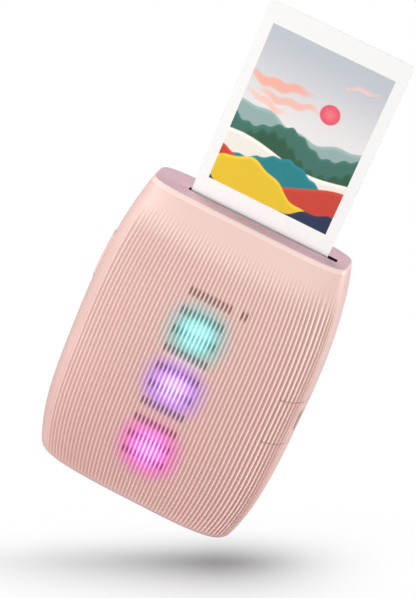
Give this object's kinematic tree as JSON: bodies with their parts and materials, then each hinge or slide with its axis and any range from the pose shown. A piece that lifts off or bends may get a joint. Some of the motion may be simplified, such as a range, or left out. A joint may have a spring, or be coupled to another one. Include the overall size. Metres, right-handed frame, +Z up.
{
  "type": "compact photo printer",
  "caption": "Hand-held instant photo printer with a fluted barrel-shaped body, a film slot in its flat top, status lights behind the ribs and a hinged door for the film pack.",
  "frame": {"origin": "on the surface that the printer stands on, under the middle of the body", "axes": "+X to the right seen from the front, +Y out of the back, +Z up towards the film slot"},
  "size_m": [0.091, 0.037, 0.2014],
  "materials": {
    "shell_plastic": "fine satin",
    "cap_plastic": "satin",
    "button_plastic": "satin",
    "frame_plastic": "moulded matt",
    "steel": "turned",
    "spring_steel": "rolled strip",
    "socket_steel": "drawn",
    "circuit_board": "solder mask",
    "chip_plastic": "moulded",
    "battery_wrap": "heat-sealed foil",
    "light_cyan": "clear lens",
    "light_violet": "clear lens",
    "light_magenta": "clear lens",
    "diffuser": "milky",
    "bearing_plastic": "natural",
    "lens_glass": "polished",
    "felt": "short pile",
    "pack_plastic": "moulded matt",
    "film_card": "satin coated",
    "roller_rubber": "ground",
    "brass": "cut"
  },
  "bodies": {
    "housing": {"front_cover": "shell_plastic", "rear_cover": "shell_plastic", "port_panel": "shell_plastic", "top_cap": "cap_plastic", "chassis": "frame_plastic", "case_screws": "steel", "main_board": "circuit_board", "board_chips": "chip_plastic", "charging_socket": "socket_steel", "battery": "battery_wrap", "light_board": "circuit_board", "light_top": "light_cyan", "light_middle": "light_violet", "light_bottom": "light_magenta", "light_guide": "diffuser", "gear_motor": "socket_steel", "shaft_bushes": "bearing_plastic", "idler_pin": "steel", "exposure_head": "frame_plastic", "head_lens": "lens_glass", "slot_seal": "felt", "button_board": "circuit_board", "button_switch": "chip_plastic", "film_pack": "pack_plastic", "film_stack": "film_card", "pack_plate": "spring_steel", "door_seal": "felt", "hinge_pin": "steel"},
    "door": {"film_door": "shell_plastic", "pressure_springs": "spring_steel"},
    "latch": {"latch_knob": "button_plastic", "latch_slide": "frame_plastic"},
    "drive": {"drive_shaft": "steel", "drive_roller": "roller_rubber", "drive_gear": "bearing_plastic"},
    "pinch": {"pinch_shaft": "steel", "pinch_roller": "roller_rubber"},
    "idler": {"idler_gear": "bearing_plastic"},
    "pinion": {"motor_pinion": "brass"},
    "print": {"instant_print": "film_card"},
    "button": {"power_button": "button_plastic"},
    "claw": {"pick_claw": "frame_plastic"}
  },
  "joints": [
    {"name": "drive_spin", "type": "hinge", "parent": "housing", "child": "drive", "pos_m": [0, -0.00435, 0.1178], "axis": [1, 0, 0], "range_deg": [-1830, 0]},
    {"name": "print_eject", "type": "slide", "parent": "housing", "child": "print", "axis": [0, 0, 1], "range_m": [-0.083, 0]},
    {"name": "pinch_spin", "type": "hinge", "parent": "housing", "child": "pinch", "pos_m": [0, 0.00155, 0.1178], "axis": [1, 0, 0], "range_deg": [0, 1830]},
    {"name": "idler_spin", "type": "hinge", "parent": "housing", "child": "idler", "pos_m": [0, -0.00259, 0.10713], "axis": [1, 0, 0], "range_deg": [0, 686.5]},
    {"name": "pinion_spin", "type": "hinge", "parent": "housing", "child": "pinion", "pos_m": [0, -0.0087, 0.0982], "axis": [1, 0, 0], "range_deg": [-1830, 0]},
    {"name": "door_hinge", "type": "hinge", "parent": "housing", "child": "door", "pos_m": [0, 0.01289, 0.008], "axis": [1, 0, 0], "range_deg": [-90, 0]},
    {"name": "latch_slide", "type": "slide", "parent": "housing", "child": "latch", "axis": [-1, 0, 0], "range_m": [0, 0.004]},
    {"name": "power_button_press", "type": "slide", "parent": "housing", "child": "button", "axis": [1, 0, 0], "range_m": [0, 0.0006], "stiffness_N_per_m": 500},
    {"name": "claw_lift", "type": "slide", "parent": "housing", "child": "claw", "axis": [0, 0, 1], "range_m": [0, 0.02], "stiffness_N_per_m": 10}
  ],
  "couplings": [
    {"joint": "drive_spin", "follows": "print_eject", "rad_per_m": 384.62},
    {"joint": "pinch_spin", "follows": "print_eject", "rad_per_m": -384.62},
    {"joint": "idler_spin", "follows": "print_eject", "rad_per_m": -144.23},
    {"joint": "pinion_spin", "follows": "print_eject", "rad_per_m": 384.62}
  ]
}
